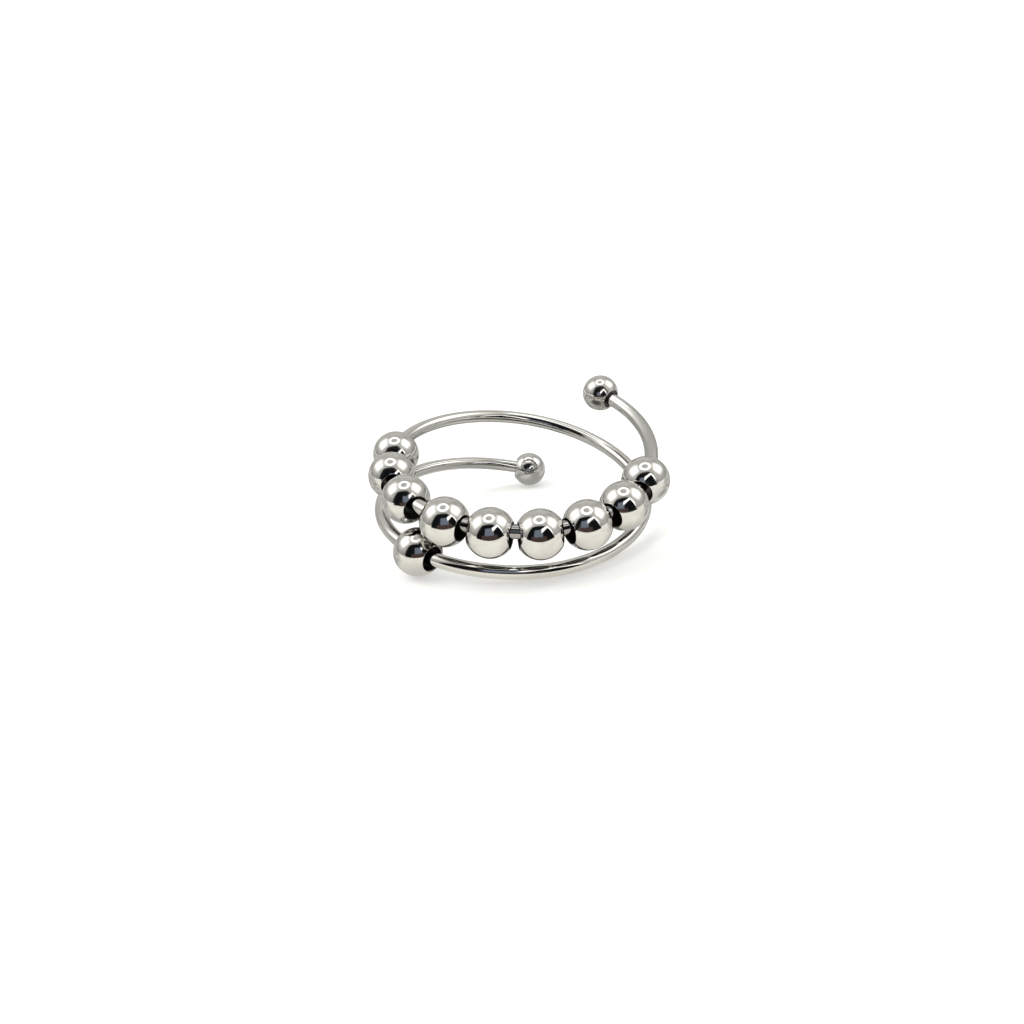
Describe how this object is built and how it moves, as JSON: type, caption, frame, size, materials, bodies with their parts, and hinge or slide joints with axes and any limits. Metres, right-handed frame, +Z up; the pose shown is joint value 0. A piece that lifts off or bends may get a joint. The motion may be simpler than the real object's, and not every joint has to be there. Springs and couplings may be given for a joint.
{
  "type": "spinner ring",
  "caption": "Open two-turn coil fidget ring of polished steel wire with a ball on each end and loose drilled beads that spin on it, lying on its side.",
  "frame": {"origin": "middle of the footprint, at the floor that the ring lies on", "axes": "+Z up, through the finger hollow; -Y towards the strand of beads at the front; +Y towards the two end balls at the back; +X to the right"},
  "size_m": [0.025, 0.0266, 0.0116],
  "materials": {
    "polished_wire": "polished stainless steel wire",
    "polished_balls": "polished stainless steel",
    "polished_beads": "mirror polished stainless steel with fine wear"
  },
  "bodies": {
    "wire": {"wire_coil": "polished_wire", "upper_end_ball": "polished_balls", "lower_end_ball": "polished_balls"},
    "bead_1": {"bead_1": "polished_beads"},
    "bead_2": {"bead_2": "polished_beads"},
    "bead_3": {"bead_3": "polished_beads"},
    "bead_4": {"bead_4": "polished_beads"},
    "bead_5": {"bead_5": "polished_beads"},
    "bead_6": {"bead_6": "polished_beads"},
    "bead_7": {"bead_7": "polished_beads"},
    "bead_8": {"bead_8": "polished_beads"},
    "bead_9": {"bead_9": "polished_beads"},
    "bead_10": {"bead_10": "polished_beads"}
  },
  "joints": [
    {"name": "bead_1_spin", "type": "hinge", "parent": "wire", "child": "bead_1", "pos_m": [0.01048, -0.00519, 0.00536], "axis": [-0.4351, -0.8594, -0.2686], "continuous": true},
    {"name": "bead_2_spin", "type": "hinge", "parent": "wire", "child": "bead_2", "pos_m": [0.00826, -0.00819, 0.00449], "axis": [-0.7148, -0.6764, -0.1775], "continuous": true},
    {"name": "bead_3_spin", "type": "hinge", "parent": "wire", "child": "bead_3", "pos_m": [0.0051, -0.01033, 0.00402], "axis": [-0.9087, -0.4122, -0.0651], "continuous": true},
    {"name": "bead_4_spin", "type": "hinge", "parent": "wire", "child": "bead_4", "pos_m": [0.00138, -0.01133, 0.004], "axis": [-0.9936, -0.0986, 0.0551], "continuous": true},
    {"name": "bead_5_spin", "type": "hinge", "parent": "wire", "child": "bead_5", "pos_m": [-0.00242, -0.01105, 0.00439], "axis": [-0.9616, 0.237, 0.1384], "continuous": true},
    {"name": "bead_6_spin", "type": "hinge", "parent": "wire", "child": "bead_6", "pos_m": [-0.0059, -0.00948, 0.00503], "axis": [-0.8116, 0.5539, 0.1857], "continuous": true},
    {"name": "bead_7_spin", "type": "hinge", "parent": "wire", "child": "bead_7", "pos_m": [-0.00903, -0.0061, 0.00598], "axis": [-0.4939, 0.8434, 0.2115], "continuous": true},
    {"name": "bead_8_spin", "type": "hinge", "parent": "wire", "child": "bead_8", "pos_m": [-0.01032, -0.00235, 0.00684], "axis": [-0.1441, 0.9687, 0.2022], "continuous": true},
    {"name": "bead_9_spin", "type": "hinge", "parent": "wire", "child": "bead_9", "pos_m": [-0.01018, 0.00142, 0.00753], "axis": [0.2009, 0.9682, 0.149], "continuous": true},
    {"name": "bead_10_spin", "type": "hinge", "parent": "wire", "child": "bead_10", "pos_m": [-0.00843, -0.00774, 0.002], "axis": [-0.7116, 0.6844, 0.1589], "continuous": true}
  ]
}
